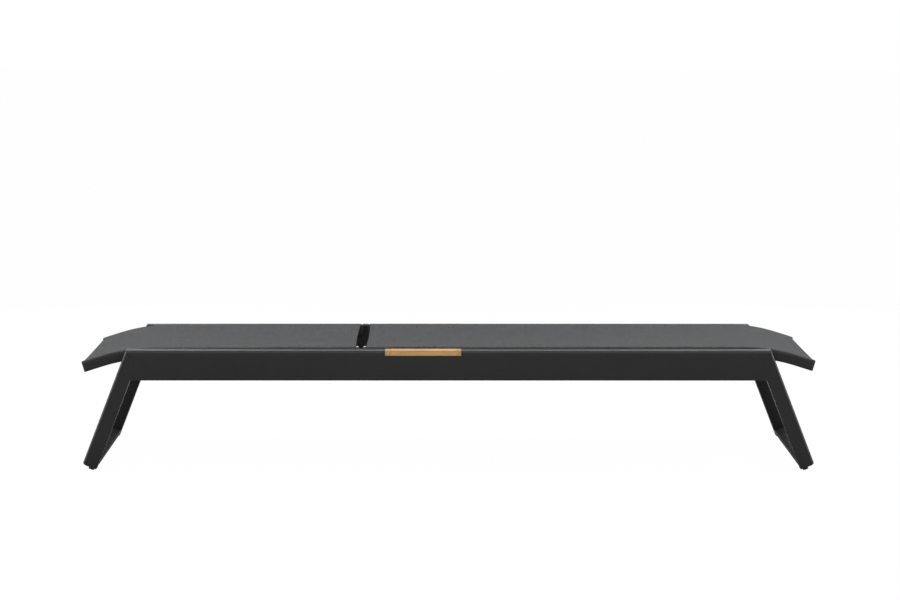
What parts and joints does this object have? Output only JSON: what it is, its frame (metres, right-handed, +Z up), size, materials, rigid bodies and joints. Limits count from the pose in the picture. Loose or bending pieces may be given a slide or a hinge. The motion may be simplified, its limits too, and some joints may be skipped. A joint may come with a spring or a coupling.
{
  "type": "reclining sun lounger",
  "caption": "Low sun lounger with slim splayed metal legs, taut woven slings over drooping ends, a hinged backrest on a toothed prop and teak inlays in the side rails.",
  "frame": {"origin": "on the floor, at the middle of the length and width of the lounger as it stands with the backrest down", "axes": "+X towards the foot end, -X towards the head end with the backrest, +Y across to the rear side, +Z up"},
  "size_m": [2.0077, 0.74, 0.3326],
  "materials": {
    "charcoal_frame": "satin powder coat, charcoal",
    "sling_weave": "matt coated-yarn mesh, mid grey",
    "teak": "fine-sanded bare teak",
    "black_plastic": "matt moulded",
    "stainless": "satin",
    "rubber": "matt"
  },
  "bodies": {
    "base": {"side_rail_front": "charcoal_frame", "side_rail_rear": "charcoal_frame", "leg_front_head": "charcoal_frame", "leg_front_foot": "charcoal_frame", "leg_rear_head": "charcoal_frame", "leg_rear_foot": "charcoal_frame", "floor_bar_head": "charcoal_frame", "floor_bar_foot": "charcoal_frame", "cross_member_head": "charcoal_frame", "cross_member_hinge": "charcoal_frame", "cross_member_middle": "charcoal_frame", "cross_member_foot": "charcoal_frame", "rack_front": "charcoal_frame", "rack_rear": "charcoal_frame", "glide_front_head": "black_plastic", "glide_front_foot": "black_plastic", "glide_rear_head": "black_plastic", "glide_rear_foot": "black_plastic", "backrest_buffer_front": "rubber", "backrest_buffer_rear": "rubber", "teak_inlay_front": "teak", "teak_inlay_rear": "teak", "teak_head_block_front": "teak", "teak_head_block_rear": "teak", "teak_foot_block_front": "teak", "teak_foot_block_rear": "teak", "rivet_nut_front": "stainless", "rivet_nut_rear": "stainless", "hinge_bolt_front": "stainless", "hinge_bolt_rear": "stainless", "seat_bolt_hinge_front": "stainless", "seat_bolt_hinge_rear": "stainless", "seat_bolt_foot_front": "stainless", "seat_bolt_foot_rear": "stainless", "seat_tube_front": "charcoal_frame", "seat_tube_rear": "charcoal_frame", "seat_brace": "charcoal_frame", "seat_end_bar": "charcoal_frame", "seat_tip_cap_front": "black_plastic", "seat_tip_cap_rear": "black_plastic", "seat_gap_cap_front": "black_plastic", "seat_gap_cap_rear": "black_plastic", "seat_sling": "sling_weave"},
    "backrest": {"backrest_tube_front": "charcoal_frame", "backrest_tube_rear": "charcoal_frame", "backrest_brace_lower": "charcoal_frame", "backrest_brace_upper": "charcoal_frame", "backrest_end_bar": "charcoal_frame", "backrest_tip_cap_front": "black_plastic", "backrest_tip_cap_rear": "black_plastic", "backrest_gap_cap_front": "black_plastic", "backrest_gap_cap_rear": "black_plastic", "hinge_bush_front": "black_plastic", "hinge_bush_rear": "black_plastic", "backrest_sling": "sling_weave"},
    "bail": {"bail_arm_front": "stainless", "bail_arm_rear": "stainless", "bail_foot_bar": "stainless"}
  },
  "joints": [
    {"name": "backrest_hinge", "type": "hinge", "parent": "base", "child": "backrest", "pos_m": [-0.268, 0, 0.3173], "axis": [0, 1, 0], "range_deg": [0, 70]},
    {"name": "bail_pivot", "type": "hinge", "parent": "backrest", "child": "bail", "pos_m": [-0.48798, 0, 0.31134], "axis": [0, 1, 0], "range_deg": [-130.5, 0]}
  ],
  "couplings": [
    {"joint": "bail_pivot", "follows": "backrest_hinge", "ratio": -1.8625}
  ]
}
